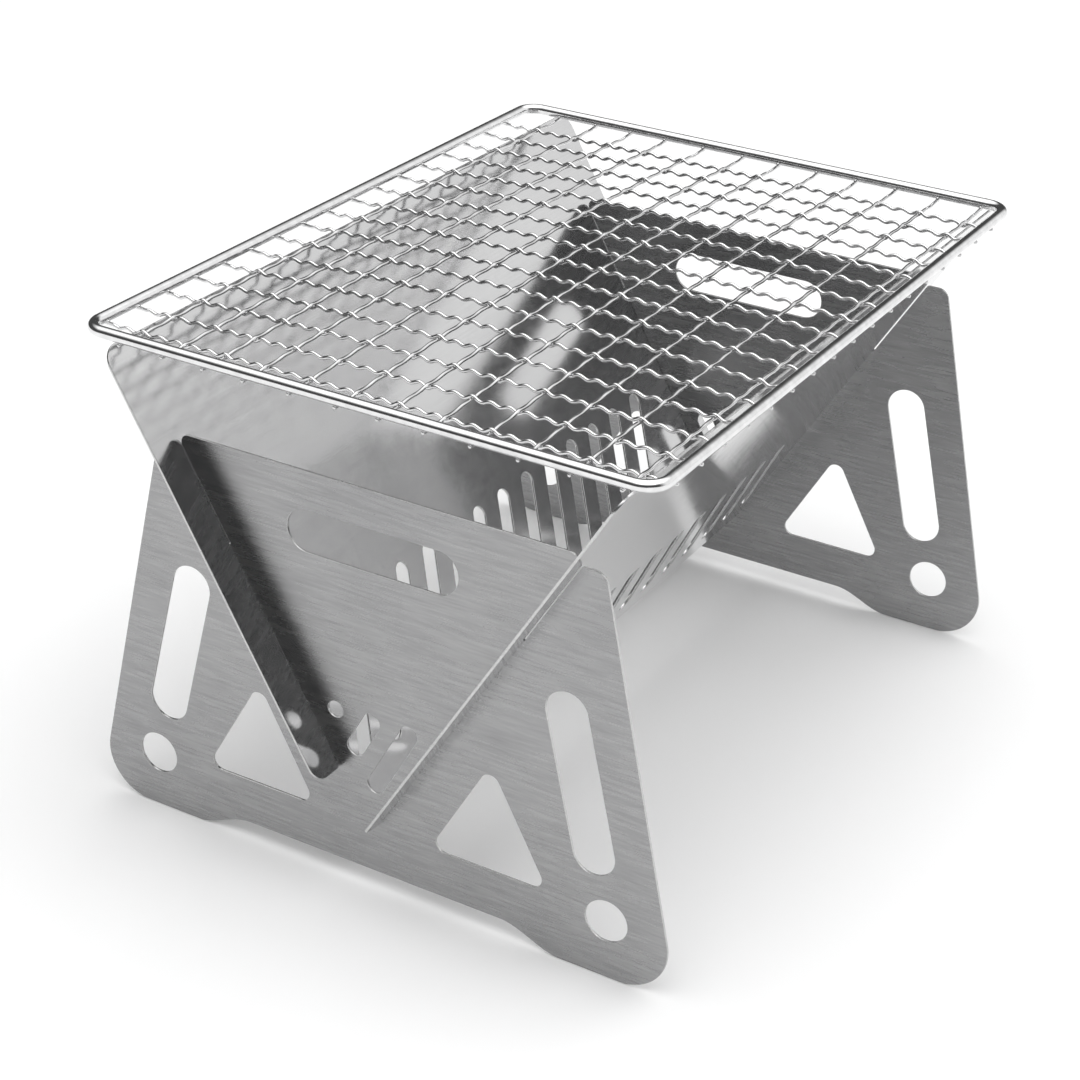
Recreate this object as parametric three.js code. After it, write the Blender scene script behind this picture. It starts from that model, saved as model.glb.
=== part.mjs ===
// Folding camp grill: two upright end plates, two sloping side panels that
// half-lap into them to form a V trough, and a lift-off grate made of a bent
// rod frame with a crimped wire mesh underneath.
// Millimetres, +Z up. X runs across the V, Y runs along the trough, front at -Y.
// Origin: middle of the footprint, on the plane the feet stand on (z = 0).
import * as THREE from 'three';

// ---------------------------------------------------------- shared dimensions
const SHEET = 1.0;            // gauge of plates and panels
const FIT = 0.3;              // free gap at every place where pieces meet
const PLATE_Y = 150;          // mid-plane of each end plate, +/-
const PANEL_TOP_Z = 199.5;    // top edge of the panels; the grate lies just above
const APEX_Z = 24;            // height where the two panel mid-planes would meet
const RUN_PER_RISE = 0.5985;  // horizontal run of a panel for each mm of rise
const HALF_LAP_Z = 128.1;     // height where plate slot and panel notch meet
const LAP_CORNER_R = 0.35;    // corner radius at the blind end of slots and notches

// -------------------------------------------------------------- slope geometry
// Unit directions in (x, z) for the right-hand panel.
const SLOPE = Math.atan2(1, RUN_PER_RISE);
const UPHILL = new THREE.Vector2(Math.cos(SLOPE), Math.sin(SLOPE));
const OUTWARD = new THREE.Vector2(UPHILL.y, -UPHILL.x);

// distance up the slope from the apex at which the mid-plane reaches height z
const slopeAt = (z) => (z - APEX_Z) / UPHILL.y;

// (x, z) of a point given up the slope and outward from the mid-plane
const slopePoint = (along, offset) => [
  UPHILL.x * along + OUTWARD.x * offset,
  APEX_Z + UPHILL.y * along + OUTWARD.y * offset,
];

// (x, z) at height z on a line parallel to the mid-plane
const slopePointAtZ = (z, offset) => slopePoint(slopeAt(z - OUTWARD.y * offset), offset);

// ------------------------------------------------------------ outline helpers
// points along an arc, both ends included
function arcPoints(x, y, radius, start, turn, segments) {
  return Array.from({ length: segments + 1 }, (_, k) => {
    const angle = start + turn * k / segments;
    return [x + radius * Math.cos(angle), y + radius * Math.sin(angle)];
  });
}

// arc that rounds one corner, tangent to the edges toward its neighbours
function cornerArc([x, y, radius], before, after, arcStep) {
  const toBefore = new THREE.Vector2(before[0] - x, before[1] - y).normalize();
  const toAfter = new THREE.Vector2(after[0] - x, after[1] - y).normalize();
  const halfAngle = toBefore.angleTo(toAfter) / 2;
  const setback = radius / Math.tan(halfAngle);
  const corner = new THREE.Vector2(x, y);
  const centre = toBefore.clone().add(toAfter)
    .setLength(radius / Math.sin(halfAngle))
    .add(corner);
  const first = corner.clone().addScaledVector(toBefore, setback).sub(centre);
  const last = corner.clone().addScaledVector(toAfter, setback).sub(centre);
  const start = Math.atan2(first.y, first.x);
  let turn = Math.atan2(last.y, last.x) - start;
  if (turn > Math.PI) turn -= 2 * Math.PI;
  if (turn < -Math.PI) turn += 2 * Math.PI;
  const segments = Math.max(2, Math.ceil(Math.abs(turn) / arcStep));
  return arcPoints(centre.x, centre.y, radius, start, turn, segments);
}

// closed outline from corners [x, y, radius]; a radius of 0 keeps the corner
function outline(corners, arcStep = 0.26) {
  const count = corners.length;
  return corners.flatMap((corner, i) => {
    if (corner[2] === 0) return [[corner[0], corner[1]]];
    const before = corners[(i + count - 1) % count];
    const after = corners[(i + 1) % count];
    return cornerArc(corner, before, after, arcStep);
  });
}

// round-ended slot between two centres
function capsule([x0, y0], [x1, y1], radius, segments) {
  const angle = Math.atan2(y1 - y0, x1 - x0);
  return [
    ...arcPoints(x0, y0, radius, angle + Math.PI / 2, Math.PI, segments),
    ...arcPoints(x1, y1, radius, angle - Math.PI / 2, Math.PI, segments),
  ];
}

// the arc's last point repeats its first, so it is left off
function disc(x, y, radius, segments) {
  return arcPoints(x, y, radius, 0, 2 * Math.PI, segments).slice(0, -1);
}

// -------------------------------------------------------------- solid helpers
const toVectors = (points) => points.map(([x, y]) => new THREE.Vector2(x, y));

// sheet metal blank lying in local x-y, centred on local z = 0
function sheet(outer, holes) {
  const shape = new THREE.Shape(toVectors(outer));
  shape.holes = holes.map((hole) => new THREE.Path(toVectors(hole)));
  const geometry = new THREE.ExtrudeGeometry(shape, {
    depth: SHEET,
    bevelEnabled: false,
    steps: 1,
  });
  return geometry.translate(0, 0, -SHEET / 2);
}

// one ring of section points around `point`, between two path directions
function sectionRing(point, dirIn, dirOut, radius, sides) {
  const tangent = dirIn.clone().add(dirOut).normalize();
  const side = tangent.clone().cross(new THREE.Vector3(0, 0, 1)).normalize();
  const top = side.clone().cross(tangent).normalize();
  // keep the section full where the path turns in the horizontal plane
  const flatIn = new THREE.Vector2(dirIn.x, dirIn.y);
  const flatOut = new THREE.Vector2(dirOut.x, dirOut.y);
  const stretch = 1 / Math.cos(flatIn.angleTo(flatOut) / 2);
  return Array.from({ length: sides }, (_, k) => {
    const angle = 2 * Math.PI * (k + 0.5) / sides;
    return point.clone()
      .addScaledVector(side, radius * stretch * Math.cos(angle))
      .addScaledVector(top, radius * Math.sin(angle));
  });
}

// solid swept along a polyline with a regular section; closed loops have no caps
function sweep(path, { radius, sides, closed }) {
  const points = path.map((point) => new THREE.Vector3(...point));
  const count = points.length;
  const spanCount = closed ? count : count - 1;
  const spanDirs = Array.from({ length: spanCount }, (_, i) => (
    points[(i + 1) % count].clone().sub(points[i]).normalize()
  ));
  const rings = points.map((point, i) => {
    const dirIn = spanDirs[closed ? (i + count - 1) % count : Math.max(0, i - 1)];
    const dirOut = spanDirs[Math.min(spanCount - 1, i)];
    return sectionRing(point, dirIn, dirOut, radius, sides);
  });

  const indices = [];
  for (let i = 0; i < spanCount; i++) {
    const near = i * sides;
    const far = ((i + 1) % count) * sides;
    for (let k = 0; k < sides; k++) {
      const next = (k + 1) % sides;
      indices.push(near + k, far + next, near + next);
      indices.push(near + k, far + k, far + next);
    }
  }
  if (!closed) {
    const last = (count - 1) * sides;
    for (let k = 1; k < sides - 1; k++) {
      indices.push(0, k, k + 1);
      indices.push(last, last + k + 1, last + k);
    }
  }
  const geometry = new THREE.BufferGeometry().setFromPoints(rings.flat());
  geometry.setIndex(indices);
  geometry.computeVertexNormals();
  return geometry;
}

// ---------------------------------------------------------------- end plates
const TOP_MID_Z = 167.2;      // top edge of the middle web
const TOP_MID_R = 3.2;        // web corner beside the slot
const LEG_TOP_Z = 163.0;      // top of each leg
const LEG_TOP_X = 93.1;       // leg outer edge at LEG_TOP_Z
const LEG_TOP_OUT_R = 5.5;    // outer corner of the leg top
const LEG_TOP_IN_R = 1.6;     // leg corner beside the slot
const FOOT_X = 129.7;         // leg outer edge produced down to z = 0
const FOOT_R = 19;            // outer foot rounding
const FOOT_IN_X = 82;         // where the flat of the foot stops
const ARCH_X = 56;            // where the raised centre edge starts
const ARCH_Z = 7.5;           // height of the raised centre edge
const ARCH_STEPS = 8;

const WIDE_SLOT = { halfLength: 27.4, z: 143.4, radius: 8.6 };
const LEG_SLOT = { top: [80.6, 104.4], bottom: [93.7, 50.6], radius: 8.5 };
const FOOT_HOLE = { x: 100, z: 24.2, radius: 8.6 };
const TRIANGLE = [[25.4, 27.1], [76.1, 27.1], [50.7, 72.6]]; // corners (x, z)
const TRIANGLE_R = 4.1;
// small round hole and two slanted slots between the triangles
const SMALL_HOLE = { x: -15.8, z: 73.1, radius: 3.4 };
const SLANT_SLOTS = [         // end centres (x, z)
  [[-0.2, 72.5], [-6.9, 60.0]],
  [[16.0, 72.5], [1.9, 46.4]],
];
const SLANT_SLOT_R = 3.8;

// outline in (x, z): the right half, then its mirror image
function endPlateOutline() {
  const slotHalf = SHEET / 2 + FIT;
  const slotEnd = slopeAt(HALF_LAP_Z) - FIT / 2;
  const right = [];
  for (let k = 0; k <= ARCH_STEPS; k++) {
    const x = ARCH_X + (FOOT_IN_X - ARCH_X) * k / ARCH_STEPS;
    right.push([x, ARCH_Z * (0.5 + 0.5 * Math.cos(Math.PI * k / ARCH_STEPS)), 0]);
  }
  right.push(
    [FOOT_X, 0, FOOT_R],
    [LEG_TOP_X, LEG_TOP_Z, LEG_TOP_OUT_R],
    [...slopePointAtZ(LEG_TOP_Z, slotHalf), LEG_TOP_IN_R],
    [...slopePoint(slotEnd, slotHalf), LAP_CORNER_R],
    [...slopePoint(slotEnd, -slotHalf), LAP_CORNER_R],
    [...slopePointAtZ(TOP_MID_Z, -slotHalf), TOP_MID_R],
  );
  const left = right.map(([x, z, radius]) => [-x, z, radius]).reverse();
  return outline([...right, ...left]);
}

function endPlateHoles() {
  const { halfLength, z, radius } = WIDE_SLOT;
  const holes = [capsule([-halfLength, z], [halfLength, z], radius, 12)];
  for (const side of [1, -1]) {
    const mirrored = ([x, height]) => [side * x, height];
    const { top, bottom } = LEG_SLOT;
    const triangle = TRIANGLE.map((corner) => [...mirrored(corner), TRIANGLE_R]);
    holes.push(
      capsule(mirrored(top), mirrored(bottom), LEG_SLOT.radius, 12),
      disc(side * FOOT_HOLE.x, FOOT_HOLE.z, FOOT_HOLE.radius, 28),
      outline(triangle, 0.35),
    );
  }
  holes.push(disc(SMALL_HOLE.x, SMALL_HOLE.z, SMALL_HOLE.radius, 18));
  for (const [upper, lower] of SLANT_SLOTS) {
    holes.push(capsule(upper, lower, SLANT_SLOT_R, 9));
  }
  return holes;
}

// plate standing in the X-Z plane at y = 0
function endPlateGeometry() {
  return sheet(endPlateOutline(), endPlateHoles()).rotateX(Math.PI / 2);
}

// --------------------------------------------------------------- side panels
const EAR_Y = 165;            // half length of a panel
const PANEL_LOW_Z = 28.5;     // lower edge inside the trough
const PANEL_LOW_R = 2;
const PANEL_TOP_R = 8;
const EAR_LOW_Z = 48.3;       // lower edge of the short ear
const EAR_IN_R = 1;           // short ear corner beside the notch
const EAR_OUT_R = 6.5;        // short ear outer corner
// slanted lower edge of the long ear, measured up the slope from the apex
const LONG_EAR = { inner: 6.3, outer: 13.5, radius: 0.8 };

const VENTS = 13;
const VENT_PITCH = 19.15;
const VENT_FIRST_Y = -119.3;  // upper centre of the first vent
const VENT_TOP = 74.5;        // upper and lower centres, up the slope from the apex
const VENT_LOW = 26;
const VENT_LEAN = 0.5;        // shift along y for each mm down the slope
const VENT_R = 3.8;

// outline in (y, distance up the slope); the long ear is at -y
function sidePanelOutline() {
  const top = slopeAt(PANEL_TOP_Z);
  const low = slopeAt(PANEL_LOW_Z);
  const ear = slopeAt(EAR_LOW_Z);
  const notchEnd = slopeAt(HALF_LAP_Z) + FIT / 2;
  const notchIn = PLATE_Y - SHEET / 2 - FIT;
  const notchOut = PLATE_Y + SHEET / 2 + FIT;
  return outline([
    [-notchIn, low, PANEL_LOW_R],
    [notchIn, low, PANEL_LOW_R],
    [notchIn, notchEnd, LAP_CORNER_R],
    [notchOut, notchEnd, LAP_CORNER_R],
    [notchOut, ear, EAR_IN_R],
    [EAR_Y, ear, EAR_OUT_R],
    [EAR_Y, top, PANEL_TOP_R],
    [-EAR_Y, top, PANEL_TOP_R],
    [-EAR_Y, LONG_EAR.outer, LONG_EAR.radius],
    [-notchOut, LONG_EAR.inner, LONG_EAR.radius],
    [-notchOut, notchEnd, LAP_CORNER_R],
    [-notchIn, notchEnd, LAP_CORNER_R],
  ]);
}

function ventHoles() {
  const shift = VENT_LEAN * (VENT_TOP - VENT_LOW);
  return Array.from({ length: VENTS }, (_, k) => {
    const y = VENT_FIRST_Y + VENT_PITCH * k;
    return capsule([y, VENT_TOP], [y + shift, VENT_LOW], VENT_R, 8);
  });
}

// right-hand panel, tilted into place
function sidePanelGeometry() {
  const tilt = new THREE.Matrix4().makeBasis(
    new THREE.Vector3(0, 1, 0),
    new THREE.Vector3(UPHILL.x, 0, UPHILL.y),
    new THREE.Vector3(OUTWARD.x, 0, OUTWARD.y),
  );
  return sheet(sidePanelOutline(), ventHoles())
    .applyMatrix4(tilt)
    .translate(0, 0, APEX_Z);
}

// --------------------------------------------------------------------- grate
const GRATE_HALF_W = 230 / 2; // frame rod centre line, across and along
const GRATE_HALF_L = 310 / 2;
const GRATE_Y = -6.5;         // the loose grate sits a little toward the front
const ROD_R = 2.25;
const ROD_BEND = 8;           // centre-line radius of the frame corners
const BEND_SEGMENTS = 6;
const WIRE_R = 0.70;
const CRIMP = 0.86;           // height of a crimp above or below the mesh surface
const DOME = 4.0;             // rise of the mesh at its middle
const WIRE_OVERRUN = ROD_R * 0.55; // wire ends beyond the rod centre line
const WIRE_STRAIGHT = 5;      // level length at each wire end

const WIRE_Z = PANEL_TOP_Z + FIT + WIRE_R + CRIMP;  // mesh surface at its rim
const ROD_Z = WIRE_Z + WIRE_R + FIT + ROD_R;        // centre of the frame rod

// x of each long wire
const LONG_X = [
  -98.6, -79.9, -62.2, -44.9, -25.8, -6.6,
  10.6, 28.8, 47.0, 65.2, 84.4, 103.5,
];
// cross wires, from the front rod's centre line
const CROSS_COUNT = 17;
const CROSS_FIRST = 12.5;
const CROSS_LAST = 290;
const CROSS_PITCH = (CROSS_LAST - CROSS_FIRST) / (CROSS_COUNT - 1);
const CROSS_Y = Array.from({ length: CROSS_COUNT }, (_, j) => (
  GRATE_Y - GRATE_HALF_L + CROSS_FIRST + CROSS_PITCH * j
));

function frameGeometry() {
  // [x side, y side] of each corner, anticlockwise from front right
  const corners = [[1, -1], [1, 1], [-1, 1], [-1, -1]];
  const path = corners.flatMap(([sideX, sideY], i) => {
    const x = sideX * (GRATE_HALF_W - ROD_BEND);
    const y = GRATE_Y + sideY * (GRATE_HALF_L - ROD_BEND);
    const quarter = Math.PI / 2;
    return arcPoints(x, y, ROD_BEND, (i - 1) * quarter, quarter, BEND_SEGMENTS);
  });
  return sweep(path.map(([x, y]) => [x, y, ROD_Z]), { radius: ROD_R, sides: 14, closed: true });
}

// height of the domed mesh surface
function meshZ(x, y) {
  const across = x / GRATE_HALF_W;
  const along = (y - GRATE_Y) / GRATE_HALF_L;
  return WIRE_Z + DOME * (1 - across ** 2) * (1 - along ** 2);
}

// crimp of cross wire j where it meets long wire i; the long wire takes the opposite
const crimpAt = (i, j) => ((i + j) % 2 === 0 ? CRIMP : -CRIMP);

// wire with level ends; endPoint turns a distance along the wire into a point
function wireGeometry(middle, halfSpan, crossings, endPoint) {
  const start = middle - halfSpan - WIRE_OVERRUN;
  const finish = middle + halfSpan + WIRE_OVERRUN;
  const path = [
    endPoint(start),
    endPoint(start + WIRE_STRAIGHT),
    ...crossings,
    endPoint(finish - WIRE_STRAIGHT),
    endPoint(finish),
  ];
  return sweep(path, { radius: WIRE_R, sides: 6, closed: false });
}

function longWireGeometry(x, i) {
  const crossings = CROSS_Y.map((y, j) => [x, y, meshZ(x, y) - crimpAt(i, j)]);
  return wireGeometry(GRATE_Y, GRATE_HALF_L, crossings, (y) => [x, y, WIRE_Z]);
}

function crossWireGeometry(y, j) {
  const crossings = LONG_X.map((x, i) => [x, y, meshZ(x, y) + crimpAt(i, j)]);
  return wireGeometry(0, GRATE_HALF_W, crossings, (x) => [x, y, WIRE_Z]);
}

// ------------------------------------------------------------------ assembly
// bare metal finishes
const FINISH = {
  frontPlate: { color: 0x8e8f8f, roughness: 0.38 },
  rearPlate: { color: 0x8b8c8c, roughness: 0.38 },
  rightPanel: { color: 0xa9aaab, roughness: 0.2 },
  leftPanel: { color: 0xadaeaf, roughness: 0.2 },
  rod: { color: 0xc4c6c8, roughness: 0.16 },
  wire: { color: 0xb9bbbd, roughness: 0.22 },
};

const grill = new THREE.Group();
grill.name = 'folding_camp_grill';

function addPiece(name, geometry, finish) {
  const material = new THREE.MeshStandardMaterial({ ...finish, metalness: 1 });
  const mesh = new THREE.Mesh(geometry, material);
  mesh.name = name;
  grill.add(mesh);
}

const numbered = (name, i) => `${name}_${String(i + 1).padStart(2, '0')}`;

// the rear plate and left panel are their partners turned half round about Z
const frontPlate = endPlateGeometry().translate(0, -PLATE_Y, 0);
const rearPlate = endPlateGeometry().rotateZ(Math.PI).translate(0, PLATE_Y, 0);
addPiece('front_end_plate', frontPlate, FINISH.frontPlate);
addPiece('rear_end_plate', rearPlate, FINISH.rearPlate);
addPiece('right_side_panel', sidePanelGeometry(), FINISH.rightPanel);
addPiece('left_side_panel', sidePanelGeometry().rotateZ(Math.PI), FINISH.leftPanel);
addPiece('grate_frame', frameGeometry(), FINISH.rod);
LONG_X.forEach((x, i) => {
  addPiece(numbered('long_wire', i), longWireGeometry(x, i), FINISH.wire);
});
CROSS_Y.forEach((y, j) => {
  addPiece(numbered('cross_wire', j), crossWireGeometry(y, j), FINISH.wire);
});

export default grill;
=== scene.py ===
"""Slot-together sheet-metal body with a wire grate on top.

Two end plates stand on the floor (z = 0) at y = -PLATE_Y (front) and y = +PLATE_Y (rear).
Two vented side panels lie between them in a V: one rises toward +X, the other toward -X.
A domed grate of crimped wires in a rod frame rests on the panels' top edges.
Shapes are worked out in millimetres and scaled to metres when a mesh is made.
"""
import math

import bpy
import bmesh
import numpy as np
from mathutils import Matrix, Vector
from mathutils.geometry import delaunay_2d_cdt


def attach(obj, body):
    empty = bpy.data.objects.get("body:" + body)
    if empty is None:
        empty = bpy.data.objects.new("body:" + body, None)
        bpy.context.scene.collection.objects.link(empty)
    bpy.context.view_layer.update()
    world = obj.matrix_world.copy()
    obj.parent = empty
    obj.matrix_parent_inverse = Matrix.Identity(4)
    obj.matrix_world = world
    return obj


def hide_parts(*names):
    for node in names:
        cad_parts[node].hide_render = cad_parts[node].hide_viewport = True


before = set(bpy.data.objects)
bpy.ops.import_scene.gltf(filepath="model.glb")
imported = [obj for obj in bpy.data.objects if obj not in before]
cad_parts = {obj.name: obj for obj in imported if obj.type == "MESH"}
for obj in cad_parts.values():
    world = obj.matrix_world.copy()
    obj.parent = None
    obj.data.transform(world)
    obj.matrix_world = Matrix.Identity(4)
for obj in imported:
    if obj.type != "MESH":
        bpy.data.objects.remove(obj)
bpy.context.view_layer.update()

MM = 0.001

# ---------------------------------------------------------- shared dimensions
SHEET = 1.0                       # gauge of plates and panels
FIT = 0.3                         # clearance between parts
SLIT_HALF = SHEET / 2 + FIT       # half width of the slits where sheets cross
SLIT_R = 0.35                     # corner radius at a slit's closed end
CUT_BEVEL = 0.13                  # rounding of the cut edges
PLATE_Y = 150.0                   # end plates' mid-plane
HALF_LAP_Z = 128.1                # height where plate slits and panel slits meet
PANEL_TOP_Z = 199.5

# The panels' mid-planes meet in a line along Y at this height
APEX_Z = 24.0
SLOPE = math.atan2(1, 0.5985)
SLOPE_X, SLOPE_Z = math.cos(SLOPE), math.sin(SLOPE)
NORMAL_X, NORMAL_Z = SLOPE_Z, -SLOPE_X


def on_slope(along, off):
    """(x, z) at a distance up the +X panel's slope and off it to its outer side."""
    return (SLOPE_X * along + NORMAL_X * off,
            APEX_Z + SLOPE_Z * along + NORMAL_Z * off)


def on_slope_at_z(z, off):
    return on_slope((z - APEX_Z - NORMAL_Z * off) / SLOPE_Z, off)


def along_at_z(z):
    return (z - APEX_Z) / SLOPE_Z


# -------------------------------------------------------------- outline tools
def unit(vector):
    return vector / np.linalg.norm(vector)


def outline(corners, step=0.6):
    """Closed polyline from corners (x, y, radius); arcs are cut about every `step` mm."""
    points = []
    for i, (x, y, radius) in enumerate(corners):
        if not radius:
            points.append((x, y))
            continue
        corner = np.array((x, y))
        before = unit(np.array(corners[i - 1][:2]) - corner)
        after = unit(np.array(corners[(i + 1) % len(corners)][:2]) - corner)
        half = math.acos(max(-1, min(1, float(before @ after)))) / 2
        setback = radius / math.tan(half)
        centre = corner + unit(before + after) * (radius / math.sin(half))
        start = corner + before * setback - centre
        end = corner + after * setback - centre
        first = math.atan2(start[1], start[0])
        turn = math.atan2(end[1], end[0]) - first
        turn = (turn + math.pi) % (2 * math.pi) - math.pi
        count = max(5, min(48, int(math.ceil(abs(turn) * radius / step))))
        for k in range(count + 1):
            angle = first + turn * k / count
            points.append((centre[0] + radius * math.cos(angle),
                           centre[1] + radius * math.sin(angle)))
    return points


def capsule(x0, y0, x1, y1, radius, count):
    """Round-ended slot between two end centres, `count` steps to each end."""
    heading = math.atan2(y1 - y0, x1 - x0)
    points = []
    for x, y, quarter in ((x0, y0, math.pi / 2), (x1, y1, -math.pi / 2)):
        for k in range(count + 1):
            angle = heading + quarter + math.pi * k / count
            points.append((x + radius * math.cos(angle), y + radius * math.sin(angle)))
    return points


def disc(x, y, radius, count):
    angles = [2 * math.pi * k / count for k in range(count)]
    return [(x + radius * math.cos(a), y + radius * math.sin(a)) for a in angles]


def wound(loop, way):
    """Loop without doubled points, counter-clockwise for way = 1, clockwise for -1."""
    points = []
    for point in loop:
        if not points or math.dist(point, points[-1]) > 1e-3:
            points.append(point)
    if math.dist(points[0], points[-1]) < 1e-3:
        points.pop()
    x, y = np.array(points).T
    if way * np.sum(x * np.roll(y, -1) - np.roll(x, -1) * y) < 0:
        points.reverse()
    return np.array(points)


def inset(loop, distance):
    """Moves a closed loop to its left, which is into the metal for a wound rim or hole."""
    edges = np.roll(loop, -1, 0) - loop
    edges /= np.linalg.norm(edges, axis=1)[:, None]
    normals = np.stack([-edges[:, 1], edges[:, 0]], 1)
    mitres = normals + np.roll(normals, 1, 0)
    mitres /= np.maximum(np.linalg.norm(mitres, axis=1), 1e-9)[:, None]
    cosines = np.clip((mitres * normals).sum(1), 0.5, 1)
    return loop + mitres * (distance / cosines)[:, None]


def inside(points, loop):
    """Even-odd test of many points against one loop."""
    x, y = points.T
    result = np.zeros(len(points), bool)
    for (x0, y0), (x1, y1) in zip(loop, np.roll(loop, -1, 0)):
        if y0 != y1:
            crosses = (y0 > y) != (y1 > y)
            result ^= crosses & (x < (x1 - x0) * (y - y0) / (y1 - y0) + x0)
    return result


def triangulate(loops):
    """Triangles between a rim and its holes, as indices into the joined loops."""
    points = [Vector(point) for loop in loops for point in loop]
    edges, starts = [], []
    start = 0
    for loop in loops:
        count = len(loop)
        edges += [(start + i, start + (i + 1) % count) for i in range(count)]
        start += count
        starts.append(start)
    corners, _, faces, origins, _, _ = delaunay_2d_cdt(points, edges, [], 0, 1e-6)
    triangles = np.array(faces)
    centres = np.array([corner[:] for corner in corners])[triangles].mean(1)
    rim, *holes = np.split(np.array([point[:] for point in points]), starts[:-1])
    keep = inside(centres, rim)
    for hole in holes:
        keep &= ~inside(centres, hole)
    result = []
    for triangle in triangles[keep]:
        a, b, c = [origins[i][0] for i in triangle]
        ab, ac = points[b] - points[a], points[c] - points[a]
        result.append((a, c, b) if ab.x * ac.y - ab.y * ac.x < 0 else (a, b, c))
    return result


# -------------------------------------------------------------- mesh builders
def make_object(name, verts, faces, smooth, slots=None):
    mesh = bpy.data.meshes.new(name)
    mesh.from_pydata(verts, [], faces)
    if slots:
        mesh.polygons.foreach_set("material_index", slots)
    bm = bmesh.new()
    bm.from_mesh(mesh)
    bmesh.ops.recalc_face_normals(bm, faces=bm.faces)
    bm.to_mesh(mesh)
    bm.free()
    mesh.polygons.foreach_set("use_smooth", smooth)
    mesh.update()
    return link_object(name, mesh)


def link_object(name, data):
    ob = bpy.data.objects.new(name, data)
    bpy.context.scene.collection.objects.link(ob)
    return ob


def dress(ob, materials, body, node):
    """Gives an object its materials and its place in the frame."""
    for material in materials:
        ob.data.materials.append(material)
    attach(ob, body)
    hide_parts(node)


def sheet_mesh(name, rim, holes, place):
    """Closed sheet: flat faces (slot 0) and rounded cut edges (slot 1).

    place maps (u, v, w), w being across the gauge, to a frame point in metres.
    """
    loops = [wound(rim, 1)] + [wound(hole, -1) for hole in holes]
    half, chamfer = SHEET / 2, CUT_BEVEL * (1 - math.sqrt(0.5))
    upper = [(CUT_BEVEL, half), (chamfer, half - chamfer), (0, half - CUT_BEVEL)]
    levels = upper + [(d, -w) for d, w in reversed(upper)]  # (inset, height) of the rings
    verts, faces = [], []
    top, bottom = [], []
    for loop in loops:
        count, start = len(loop), len(verts)
        for distance, w in levels:
            verts += [(u, v, w) for u, v in inset(loop, distance)]
        for ring in range(len(levels) - 1):
            a = start + ring * count
            b = a + count
            for i in range(count):
                j = (i + 1) % count
                faces.append((a + i, b + i, b + j, a + j))
        top += range(start, start + count)
        bottom += range(len(verts) - count, len(verts))
    edge_count = len(faces)
    for a, b, c in triangulate([inset(loop, CUT_BEVEL) for loop in loops]):
        faces.append((top[a], top[b], top[c]))
        faces.append((bottom[a], bottom[c], bottom[b]))
    flat_count = len(faces) - edge_count
    return make_object(name, [place(*vert) for vert in verts], faces,
                       smooth=[True] * edge_count + [False] * flat_count,
                       slots=[1] * edge_count + [0] * flat_count)


CAP_TILTS = np.array((1.25, 0.8, 0.4))    # stations of a rounded wire end, tip first
CAP_REACH = 0.55                          # length of a rounded end over its radius


def sweep_mesh(name, path, radii, sides, closed=False):
    """Round bar along a path; radii is one radius or one for each point."""
    points = np.array(path, float)
    radii = np.broadcast_to(radii, len(points))
    if closed:
        tangents = np.roll(points, -1, 0) - np.roll(points, 1, 0)
    else:
        tangents = np.gradient(points, axis=0)
    tangents /= np.linalg.norm(tangents, axis=1)[:, None]
    if not closed:
        reach = CAP_REACH * np.sin(CAP_TILTS)[:, None]
        shrink = np.cos(CAP_TILTS)
        points = np.vstack([points[0] - tangents[0] * radii[0] * reach, points,
                            points[-1] + tangents[-1] * radii[-1] * reach[::-1]])
        radii = np.concatenate([radii[0] * shrink, radii, radii[-1] * shrink[::-1]])
        tangents = np.pad(tangents, ((3, 3), (0, 0)), mode="edge")
    count = len(points)
    side = np.cross(tangents, np.array([0, 0, 1.0]))
    side /= np.linalg.norm(side, axis=1)[:, None]
    top = np.cross(side, tangents)
    angles = (2 * math.pi * (np.arange(sides) + 0.5) / sides)[None, :, None]
    ring = side[:, None, :] * np.cos(angles) + top[:, None, :] * np.sin(angles)
    verts = (points[:, None, :] + radii[:, None, None] * ring).reshape(-1, 3) * MM
    faces = []
    for i in range(count if closed else count - 1):
        a, b = i * sides, ((i + 1) % count) * sides
        for k in range(sides):
            j = (k + 1) % sides
            faces.append((a + k, a + j, b + j, b + k))
    if not closed:
        faces.append(tuple(range(sides))[::-1])
        faces.append(tuple(range((count - 1) * sides, count * sides)))
    return make_object(name, verts.tolist(), faces, smooth=[True] * len(faces))


# --------------------------------------------------------------- shader tools
class Graph:
    """Short forms for building a node tree; values may be numbers or output sockets."""

    def __init__(self, tree):
        self.tree = tree

    def feed(self, socket, value):
        if isinstance(value, bpy.types.NodeSocket):
            self.tree.links.new(value, socket)
        else:
            socket.default_value = value

    def node(self, kind, inputs=None, **settings):
        node = self.tree.nodes.new(kind)
        for key, value in settings.items():
            setattr(node, key, value)
        for key, value in (inputs or {}).items():
            self.feed(node.inputs[key], value)
        return node

    def math(self, operation, *values, clamp=False):
        return self.node("ShaderNodeMath", dict(enumerate(values)),
                         operation=operation, use_clamp=clamp).outputs[0]

    def add(self, first, second):
        return self.math("ADD", first, second)

    def remap(self, value, old, new=(0.0, 1.0), curve="LINEAR"):
        return self.node("ShaderNodeMapRange", {
            "From Min": old[0], "From Max": old[1],
            "To Min": new[0], "To Max": new[1], "Value": value,
        }, interpolation_type=curve).outputs["Result"]


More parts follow.
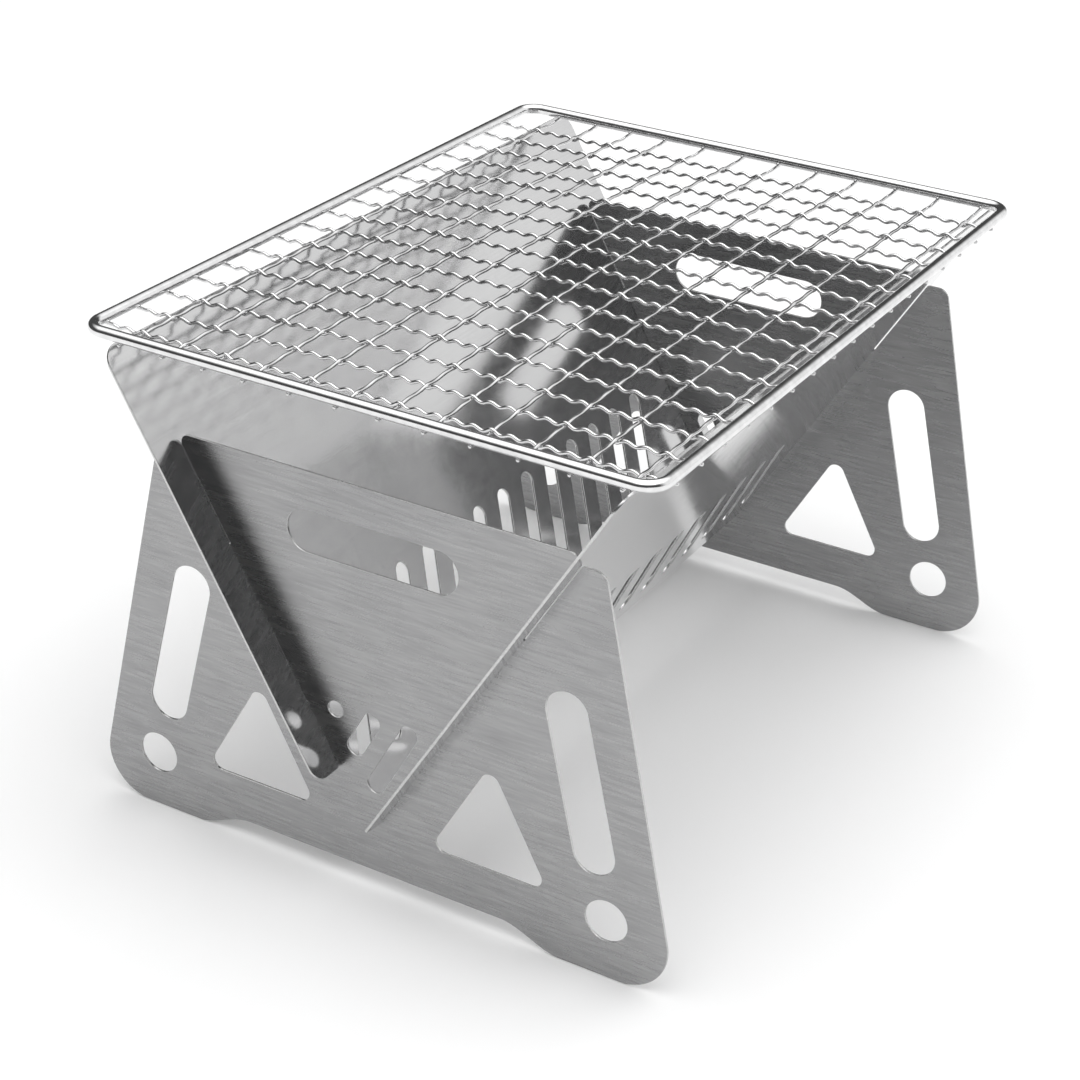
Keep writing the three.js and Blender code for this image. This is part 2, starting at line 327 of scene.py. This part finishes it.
class Metal(Graph):
    """Principled metal whose textures use object coordinates, shifted and turned."""

    def __init__(self, name, colour, roughness, shift, turn=(0, 0, 0)):
        self.material = bpy.data.materials.new(name)
        self.material.use_nodes = True
        self.material.diffuse_color = (*colour, 1)
        self.material.roughness, self.material.metallic = roughness, 1.0
        super().__init__(self.material.node_tree)
        self.shader = self.tree.nodes["Principled BSDF"]
        self.surface("Base Color", (*colour, 1))
        self.surface("Roughness", roughness)
        self.surface("Metallic", 1.0)
        self.coords = self.mapped(self.node("ShaderNodeTexCoord").outputs["Object"],
                                  Location=shift, Rotation=turn)

    def surface(self, key, value):
        self.feed(self.shader.inputs[key], value)

    def mapped(self, vector, **inputs):
        inputs["Vector"] = vector
        return self.node("ShaderNodeMapping", inputs).outputs["Vector"]

    def noise(self, scale, detail=2.0, roughness=0.5, distortion=0.0):
        return self.node("ShaderNodeTexNoise", {
            "Scale": 1.0, "Detail": detail, "Roughness": roughness,
            "Distortion": distortion, "Vector": self.mapped(self.coords, Scale=scale),
        }).outputs["Fac"]

    def weighted(self, *pairs):
        """Sum of two (value, weight) pairs."""
        return self.add(*[self.math("MULTIPLY", *pair) for pair in pairs])

    def tint(self, factor, low, high):
        return self.node("ShaderNodeMix", {"A": (*low, 1), "B": (*high, 1), "Factor": factor},
                         data_type="RGBA").outputs["Result"]

    def multiplied(self, colour, by):
        return self.node("ShaderNodeMix", {"Factor": 1.0, "A": colour, "B": by},
                         data_type="RGBA", blend_type="MULTIPLY").outputs["Result"]

    def stretch_highlights(self, amount, tangent):
        axes = self.node("ShaderNodeCombineXYZ", dict(zip("XYZ", tangent)))
        self.surface("Anisotropic", amount)
        self.surface("Tangent", axes.outputs[0])

    def bumps(self, *layers):
        """Stacks bump layers, each (height, strength, distance in metres)."""
        inputs = {}
        for height, strength, distance in layers:
            inputs |= {"Strength": strength, "Distance": distance, "Height": height}
            inputs["Normal"] = self.node("ShaderNodeBump", inputs).outputs["Normal"]
        self.surface("Normal", inputs["Normal"])


def grey(value, blue=1.0):
    """Grey with its blue channel scaled."""
    return (value, value, value * blue)


# ------------------------------------------------------------------ materials
def brushed_steel(name, seed, base=0.37, roughness=0.27, streak=0.16):
    """Hairline-brushed sheet: short wavy strokes along X, on X-Z faces."""
    metal = Metal(name, grey(base, blue=1.005), roughness,
                  shift=(seed, seed * 0.37, seed * 0.71))
    # The strokes wander a little in height
    wander = metal.remap(metal.noise(scale=(22, 22, 60)), old=(0, 1), new=(-0.0007, 0.0007))
    offset = metal.node("ShaderNodeCombineXYZ", {"Z": wander}).outputs[0]
    metal.coords = metal.node("ShaderNodeVectorMath", {0: metal.coords, 1: offset},
                              operation="ADD").outputs[0]
    broad = metal.noise(scale=(18, 30, 260), roughness=0.55, distortion=0.1)
    coarse = metal.noise(scale=(55, 30, 760), detail=1.5, distortion=0.1)
    fine = metal.noise(scale=(200, 60, 2100), roughness=0.6)
    hair = metal.noise(scale=(60, 30, 4200))
    cloud = metal.noise(scale=(14, 14, 16), detail=3.0, roughness=0.55, distortion=0.4)
    smudge = metal.noise(scale=(38, 38, 46), detail=4.0, roughness=0.6, distortion=0.8)
    strokes = metal.add(metal.weighted((coarse, 0.56), (broad, 0.20)),
                        metal.weighted((fine, 0.15), (hair, 0.09)))
    factor = metal.remap(strokes, old=(0.32, 0.68))
    colour = metal.tint(factor, low=grey(base * (1 - streak), blue=1.01),
                        high=grey(base * (1 + streak), blue=1.004))
    shade = metal.tint(metal.remap(cloud, old=(0.3, 0.7)),
                       low=(0.95, 0.95, 0.955), high=grey(1.03))
    metal.surface("Base Color", metal.multiplied(colour, by=shade))
    metal.surface("Roughness", metal.add(
        metal.remap(factor, old=(0, 1), new=(roughness - 0.02, roughness + 0.02)),
        metal.remap(smudge, old=(0.3, 0.75), new=(-0.015, 0.02))))
    metal.stretch_highlights(amount=0.88, tangent=(0.0, 0.0, 1.0))
    metal.bumps((strokes, 0.015, 0.00004), (cloud, 0.12, 0.0006))
    return metal.material


def bright_steel(name, seed, side, base=0.64, roughness=0.12):
    """Mill-bright sheet with a faint lengthwise grain, mottling and soft handling marks."""
    metal = Metal(name, grey(base, blue=1.004), roughness,
                  shift=(seed * 0.53, seed, seed * 0.29), turn=(0, side * SLOPE, 0))
    grain = metal.noise(scale=(1500, 26, 1500), detail=3.0, roughness=0.6, distortion=0.1)
    hair = metal.noise(scale=(4200, 60, 4200), roughness=0.55)
    mottle = metal.noise(scale=(150, 120, 150), detail=4.0, roughness=0.62, distortion=0.6)
    cloud = metal.noise(scale=(11, 9, 11), detail=3.0, distortion=0.5)
    scratch = metal.noise(scale=(2600, 12, 2600), detail=1.0, roughness=0.4)
    lines = metal.weighted((grain, 0.6), (hair, 0.4))
    patches = metal.weighted((mottle, 0.5), (cloud, 0.5))
    colour = metal.tint(metal.remap(lines, old=(0.35, 0.65)),
                        low=grey(base * 0.965), high=grey(base * 1.025, blue=1.003))
    shade = metal.tint(metal.remap(patches, old=(0.35, 0.65)),
                       low=(0.95, 0.95, 0.955), high=grey(1.02))
    metal.surface("Base Color", metal.multiplied(colour, by=shade))
    marks = metal.add(
        metal.remap(mottle, old=(0.3, 0.7), new=(roughness - 0.02, roughness + 0.03)),
        metal.remap(scratch, old=(0.70, 0.76), new=(0.0, 0.05)))
    metal.surface("Roughness", metal.add(
        marks, metal.remap(cloud, old=(0.35, 0.65), new=(-0.01, 0.02))))
    metal.stretch_highlights(amount=0.35, tangent=(SLOPE_X * side, 0.0, SLOPE_Z))
    metal.bumps((lines, 0.02, 0.00003), (mottle, 0.03, 0.00012), (cloud, 0.12, 0.0012))
    return metal.material


def cut_edge(name, seed, base, roughness=0.22):
    """Cut edge with fine striations and a cloudy sheen."""
    metal = Metal(name, grey(base), roughness, shift=(seed, seed, seed))
    striations = metal.noise(scale=(2600, 900, 2600))
    heat = metal.noise(scale=(90, 90, 90), detail=3.0, distortion=0.3)
    metal.surface("Base Color", metal.tint(metal.remap(striations, old=(0.35, 0.65)),
                                           low=grey(base * 0.84), high=grey(base * 1.08)))
    metal.surface("Roughness", metal.remap(heat, old=(0.3, 0.7),
                                           new=(roughness - 0.06, roughness + 0.08)))
    metal.bumps((striations, 0.35, 0.00008))
    return metal.material


def chrome(name, seed, base, drawn_scale, roughness=0.11):
    """Polished plating with drawn lines, small dark pits and slight ripples."""
    metal = Metal(name, grey(base, blue=1.006), roughness,
                  shift=(seed, seed * 1.7, seed * 0.4))
    drawn = metal.noise(scale=drawn_scale)
    ripple = metal.noise(scale=(240, 240, 240), detail=3.0, distortion=0.2)
    cells = metal.node("ShaderNodeTexVoronoi", {"Scale": 900.0, "Vector": metal.coords})
    spots = metal.remap(cells.outputs["Distance"], old=(0.05, 0.16), new=(1.0, 0.0))
    areas = metal.remap(metal.noise(scale=(130, 130, 130)), old=(0.56, 0.66))
    pits = metal.math("MULTIPLY", spots, areas, clamp=True)
    colour = metal.tint(metal.remap(ripple, old=(0.3, 0.7)),
                        low=grey(base * 0.9, blue=1.004), high=grey(base * 1.06, blue=1.004))
    pit_colour = (base * 0.45, base * 0.44, base * 0.42, 1)
    pitted = metal.node("ShaderNodeMix", {"A": colour, "B": pit_colour, "Factor": pits},
                        data_type="RGBA")
    metal.surface("Base Color", pitted.outputs["Result"])
    metal.surface("Roughness", metal.add(
        metal.remap(drawn, old=(0.3, 0.7), new=(roughness - 0.03, roughness + 0.04)),
        metal.math("MULTIPLY", pits, 0.3)))
    metal.bumps((drawn, 0.12, 0.00004), (ripple, 0.18, 0.00012))
    return metal.material


# ----------------------------------------------------------------- end plates
TOP_MID_Z, TOP_MID_R = 167.2, 3.2           # top edge between the slits
LEG_TOP_X, LEG_TOP_Z, LEG_TOP_R = 93.1, 163.0, 5.5
SLIT_MOUTH_R = 1.6
FOOT_X, FOOT_IN_X, FOOT_R = 129.7, 82.0, 19.0
ARCH_X, ARCH_Z, ARCH_STEPS = 56.0, 7.5, 24  # raised bottom edge, eased down to the feet
# Slots: x, z of one end centre, x, z of the other, radius
TOP_SLOT = (-27.4, 143.4, 27.4, 143.4, 8.6)
MIDDLE_SLOTS = [(-0.2, 72.5, -6.9, 60.0, 3.8), (16.0, 72.5, 1.9, 46.4, 3.8)]
LEG_SLOT = (80.6, 104.4, 93.7, 50.6, 8.5)   # repeated on the -x side
# Round holes: x, z, radius
MIDDLE_HOLE = (-15.8, 73.1, 3.4)
FOOT_HOLE = (100, 24.2, 8.6)                # repeated on the -x side
# Rounded triangle, repeated on the -x side: x, z, corner radius
TRIANGLE = [(25.4, 27.1, 4.1), (76.1, 27.1, 4.1), (50.7, 72.6, 4.1)]


def end_plate_shape():
    slit_end = along_at_z(HALF_LAP_Z) - FIT / 2
    right = []
    for k in range(ARCH_STEPS + 1):
        x = ARCH_X + (FOOT_IN_X - ARCH_X) * k / ARCH_STEPS
        right.append((x, ARCH_Z * (0.5 + 0.5 * math.cos(math.pi * k / ARCH_STEPS)), 0))
    right += [
        (FOOT_X, 0, FOOT_R),
        (LEG_TOP_X, LEG_TOP_Z, LEG_TOP_R),
        (*on_slope_at_z(LEG_TOP_Z, SLIT_HALF), SLIT_MOUTH_R),
        (*on_slope(slit_end, SLIT_HALF), SLIT_R),
        (*on_slope(slit_end, -SLIT_HALF), SLIT_R),
        (*on_slope_at_z(TOP_MID_Z, -SLIT_HALF), TOP_MID_R),
    ]
    left = [(-x, z, radius) for x, z, radius in right][::-1]
    holes = [capsule(*TOP_SLOT, 30)]
    for side in (1, -1):
        x0, z0, x1, z1, radius = LEG_SLOT
        holes.append(capsule(side * x0, z0, side * x1, z1, radius, 30))
        x, z, radius = FOOT_HOLE
        holes.append(disc(side * x, z, radius, 56))
        holes.append(outline([(side * x, z, r) for x, z, r in TRIANGLE], step=0.5))
    holes.append(disc(*MIDDLE_HOLE, 36))
    holes += [capsule(*slot, 22) for slot in MIDDLE_SLOTS]
    return outline(right + left), holes


def end_plate(name, node, side, seed):
    """Front plate for side = -1; the rear one (side = 1) is turned half round about Z."""
    def place(u, v, w):
        return (-side * u * MM, side * (PLATE_Y + w) * MM, v * MM)

    ob = sheet_mesh(name, *end_plate_shape(), place)
    dress(ob, [brushed_steel("mat_" + name, seed),
               cut_edge("mat_edge_" + name, seed, base=0.55)],
          "end_plates", node)


end_plate("plate_front", "front_end_plate", side=-1, seed=3.1)
end_plate("plate_rear", "rear_end_plate", side=1, seed=7.7)

# ---------------------------------------------------------------- side panels
EAR_Y = 165.0                     # ends of the panels, outside the plates
PANEL_LOW_Z, PANEL_LOW_R = 28.5, 2
PANEL_TOP_R = 8
EAR_LOW_Z, EAR_INNER_R, EAR_OUTER_R = 48.3, 1, 6.5
# The other ear reaches lower; distances up the slope at its inner and outer corners
LONG_EAR_INNER, LONG_EAR_OUTER, LONG_EAR_R = 6.3, 13.5, 0.8
# Leaning slots in a row; top and low are distances up the slope
VENTS, VENT_PITCH, VENT_R = 13, 19.15, 3.8
VENT_FIRST_Y, VENT_TOP, VENT_LOW, VENT_LEAN = -119.3, 74.5, 26.0, 0.5


def side_panel_shape():
    top, low, ear = [along_at_z(z) for z in (PANEL_TOP_Z, PANEL_LOW_Z, EAR_LOW_Z)]
    slit_end = along_at_z(HALF_LAP_Z) + FIT / 2
    inner, outer = PLATE_Y - SLIT_HALF, PLATE_Y + SLIT_HALF
    rim = outline([
        (-inner, low, PANEL_LOW_R), (inner, low, PANEL_LOW_R),
        (inner, slit_end, SLIT_R), (outer, slit_end, SLIT_R),
        (outer, ear, EAR_INNER_R), (EAR_Y, ear, EAR_OUTER_R),
        (EAR_Y, top, PANEL_TOP_R), (-EAR_Y, top, PANEL_TOP_R),
        (-EAR_Y, LONG_EAR_OUTER, LONG_EAR_R), (-outer, LONG_EAR_INNER, LONG_EAR_R),
        (-outer, slit_end, SLIT_R), (-inner, slit_end, SLIT_R),
    ])
    vents = []
    for k in range(VENTS):
        y = VENT_FIRST_Y + VENT_PITCH * k
        low_y = y + VENT_LEAN * (VENT_TOP - VENT_LOW)
        vents.append(capsule(y, VENT_TOP, low_y, VENT_LOW, VENT_R, 18))
    return rim, vents


def side_panel(name, node, body, side, seed):
    """Panel rising toward +X for side = 1; for -1 it is turned half round about Z."""
    def place(u, v, w):
        x, z = on_slope(v, w)
        return (side * x * MM, side * u * MM, z * MM)

    ob = sheet_mesh(name, *side_panel_shape(), place)
    dress(ob, [bright_steel("mat_" + name, seed, side),
               cut_edge("mat_edge_" + name, seed, base=0.58)],
          body, node)


side_panel("panel_right", "right_side_panel", "right_panel", side=1, seed=2.3)
side_panel("panel_left", "left_side_panel", "left_panel", side=-1, seed=5.9)

# ---------------------------------------------------------------------- grate
GRATE_W, GRATE_L, GRATE_YC = 230.0, 310.0, -6.5     # rod centre lines, middle in y
ROD_R, ROD_BEND, ROD_STEP = 2.25, 8.0, 6
WIRE_R, WIRE_STEP = 0.70, 0.75
CRIMP, DOME = 0.86, 4.0           # crimp allowance under the wires, rise at the middle
WIRE_Z = PANEL_TOP_Z + FIT + WIRE_R + CRIMP
ROD_Z = WIRE_Z + WIRE_R + FIT + ROD_R
END_SINK = 0.25                   # wire ends are sunk into the rod from below
END_Z = ROD_Z - ROD_R - WIRE_R + END_SINK
OVERHANG = ROD_R * 0.55           # wire ends past the rod's centre line
CRIMP_REACH = 2.4                 # how far a crossing's deeper crimp spreads
BULGE, BULGE_AT, BULGE_REACH = 0.16, 1.2, 1.1       # thicker wire near its ends
# x of the wires that run along y
LONG_X = [-98.6, -79.9, -62.2, -44.9, -25.8, -6.6, 10.6, 28.8, 47.0, 65.2, 84.4, 103.5]
# y of the wires that run along x, first and last measured from the front rod
CROSS, CROSS_FIRST, CROSS_LAST = 17, 12.5, 290.0
CROSS_Y = [GRATE_YC - GRATE_L / 2 + CROSS_FIRST + (CROSS_LAST - CROSS_FIRST) * j / (CROSS - 1)
           for j in range(CROSS)]


def dome_z(x, y):
    a, b = x / (GRATE_W / 2), (y - GRATE_YC) / (GRATE_L / 2)
    return WIRE_Z + DOME * max(0.0, 1 - a * a) * max(0.0, 1 - b * b)


def ease(value):
    value = min(1.0, max(0.0, value))
    return value * value * (3 - 2 * value)


def crimped_wires(kind, stations, crossings, centre, length, place, first_sign,
                  waves, crimp, between, material):
    """Wires at the stations, each making `waves` crimps between two crossings.

    The wave's height is `crimp` at a crossing and nears `between` away from it.
    """
    low = centre - length / 2 - OVERHANG
    high = centre + length / 2 + OVERHANG
    step = (high - low) / round((high - low) / WIRE_STEP)
    for i, station in enumerate(stations):
        sign = first_sign if i % 2 == 0 else -first_sign
        points, radii = [], []
        for t in np.arange(low, high + 1e-6, step):
            k = int(np.searchsorted(crossings, t, side="right")) - 1
            k = min(len(crossings) - 2, max(0, k))
            phase = k + (t - crossings[k]) / (crossings[k + 1] - crossings[k])
            from_end = min(t - low, high - t)
            near = min(abs(t - crossing) for crossing in crossings)
            height = between + (crimp - between) * math.exp(-(near / CRIMP_REACH) ** 2)
            height *= sign * ease((from_end - 3.2) / 4.0)   # no crimp at the ends
            x, y = place(station, t)
            z = dome_z(x, y) + height * math.cos(2 * math.pi * phase * waves)
            settled = ease((from_end - 2.0) / 6.0)          # ends bend to the rod
            points.append((x, y, z * settled + END_Z * (1 - settled)))
            bulge = BULGE * math.exp(-((from_end - BULGE_AT) / BULGE_REACH) ** 2)
            radii.append(WIRE_R * (1 + bulge))
        ob = sweep_mesh("mesh_%s_%02d" % (kind, i + 1), points, radii, sides=12)
        dress(ob, [material], "grate", "%s_wire_%02d" % (kind, i + 1))


def rod_frame(material):
    bends = []
    for side_x, side_y, first in ((1, -1, -math.pi / 2), (1, 1, 0),
                                  (-1, 1, math.pi / 2), (-1, -1, math.pi)):
        x = side_x * (GRATE_W / 2 - ROD_BEND)
        y = GRATE_YC + side_y * (GRATE_L / 2 - ROD_BEND)
        for k in range(25):
            angle = first + math.pi / 2 * k / 24
            bends.append(np.array((x + ROD_BEND * math.cos(angle),
                                   y + ROD_BEND * math.sin(angle), ROD_Z)))
    path = []
    for a, b in zip(bends, bends[1:] + bends[:1]):
        count = max(1, int(np.linalg.norm(b - a) // ROD_STEP))
        path += [a + (b - a) * k / count for k in range(count)]
    ob = sweep_mesh("rod_frame", path, ROD_R, sides=28, closed=True)
    dress(ob, [material], "grate", "grate_frame")


chrome_long = chrome("mat_wire_long", seed=1.3, base=0.70, drawn_scale=(1900, 60, 1900))
chrome_cross = chrome("mat_wire_cross", seed=4.4, base=0.70, drawn_scale=(60, 1900, 1900))
chrome_rod = chrome("mat_rod", seed=8.2, base=0.80, drawn_scale=(420, 420, 1900))

# The cross wires carry most of the crimp
crimped_wires("long", LONG_X, CROSS_Y, centre=GRATE_YC, length=GRATE_L,
              place=lambda station, t: (station, t), first_sign=-1,
              waves=1.5, crimp=0.34, between=0.16, material=chrome_long)
crimped_wires("cross", CROSS_Y, LONG_X, centre=0.0, length=GRATE_W,
              place=lambda station, t: (t, station), first_sign=1,
              waves=2.5, crimp=0.90, between=0.54, material=chrome_cross)
rod_frame(chrome_rod)


# ----------------------------------------------------------- stage, in metres
def make_floor():
    mesh = bpy.data.meshes.new("floor")
    bm = bmesh.new()
    bmesh.ops.create_grid(bm, x_segments=2, y_segments=2, size=12.0)
    bm.to_mesh(mesh)
    bm.free()
    floor = link_object("floor", mesh)
    floor.location = (0, 0, -0.0002)    # just under the feet
    material = bpy.data.materials.new("mat_floor")
    material.use_nodes = True
    inputs = material.node_tree.nodes["Principled BSDF"].inputs
    inputs["Roughness"].default_value = 0.9
    inputs["Specular IOR Level"].default_value = 0.0
    inputs["Base Color"].default_value = (0.94, 0.94, 0.94, 1)
    mesh.materials.append(material)


def make_world(room=0.07, card=0.95, overhead=1.6, backdrop=1.2):
    """Dim room, a soft card toward +X +Y and a wide soft box overhead, by brightness.

    The camera itself sees a plain backdrop.
    """
    world = bpy.data.worlds.new("studio")
    bpy.context.scene.world = world
    world.use_nodes = True
    graph = Graph(world.node_tree)
    view = graph.node("ShaderNodeTexCoord").outputs["Generated"]
    x, y, z = graph.node("ShaderNodeSeparateXYZ", {0: view}).outputs
    # Both in degrees; azimuth is 0 at +Y and 90 at +X
    elevation = graph.math("MULTIPLY", graph.math("ARCSINE", z), 180 / math.pi)
    azimuth = graph.math("MULTIPLY", graph.math("ARCTAN2", x, y), 180 / math.pi)
    in_card = graph.math(
        "MULTIPLY", graph.remap(azimuth, old=(-5, 25), curve="SMOOTHSTEP"),
        graph.remap(azimuth, old=(70, 105), new=(1.0, 0.0), curve="SMOOTHSTEP"))
    walls = graph.add(room, graph.math("MULTIPLY", in_card, card))
    above = graph.remap(elevation, old=(28, 56), curve="SMOOTHSTEP")
    light = graph.add(graph.math("MULTIPLY", walls, graph.math("SUBTRACT", 1.0, above)),
                      graph.math("MULTIPLY", above, overhead))
    camera_ray = graph.node("ShaderNodeLightPath").outputs["Is Camera Ray"]
    seen = graph.node("ShaderNodeMix", {"Factor": camera_ray, "A": light, "B": backdrop},
                      data_type="FLOAT").outputs["Result"]
    colour = graph.node("ShaderNodeCombineColor", {i: seen for i in range(3)})
    background = graph.tree.nodes["Background"]
    graph.feed(background.inputs["Color"], colour.outputs[0])
    graph.feed(background.inputs["Strength"], 1.0)


def make_key_light():
    """Square lamp high over the grate, aimed at the origin."""
    light = bpy.data.lights.new("key", "AREA")
    light.shape = "SQUARE"
    light.size = 2.2
    light.energy = 14
    ob = link_object("key", light)
    ob.location = (0.3, -0.4, 2.2)
    ob.rotation_euler = (-Vector(ob.location)).to_track_quat("-Z", "Y").to_euler()


def make_camera():
    """Camera in front, to the right and above, looking down at the grate."""
    camera = bpy.data.cameras.new("camera")
    camera.sensor_width = 36
    camera.sensor_fit = "HORIZONTAL"
    camera.lens = 79.6056667
    camera.clip_start, camera.clip_end = 0.02, 60
    ob = link_object("camera", camera)
    right = Vector((0.8623, 0.5055, 0.0313))
    forward = Vector((-0.4336, 0.7688, -0.4701)).normalized()
    right = (right - forward * right.dot(forward)).normalized()
    up = right.cross(forward).normalized()
    pose = Matrix((right, up, -forward)).transposed().to_4x4()
    pose.translation = Vector((0.4121, -0.7613, 0.5416))
    ob.matrix_world = pose
    bpy.context.scene.camera = ob


make_floor()
make_world()
make_key_light()
make_camera()
bpy.context.scene.view_settings.view_transform = "Standard"
bpy.context.scene.view_settings.look = "None"
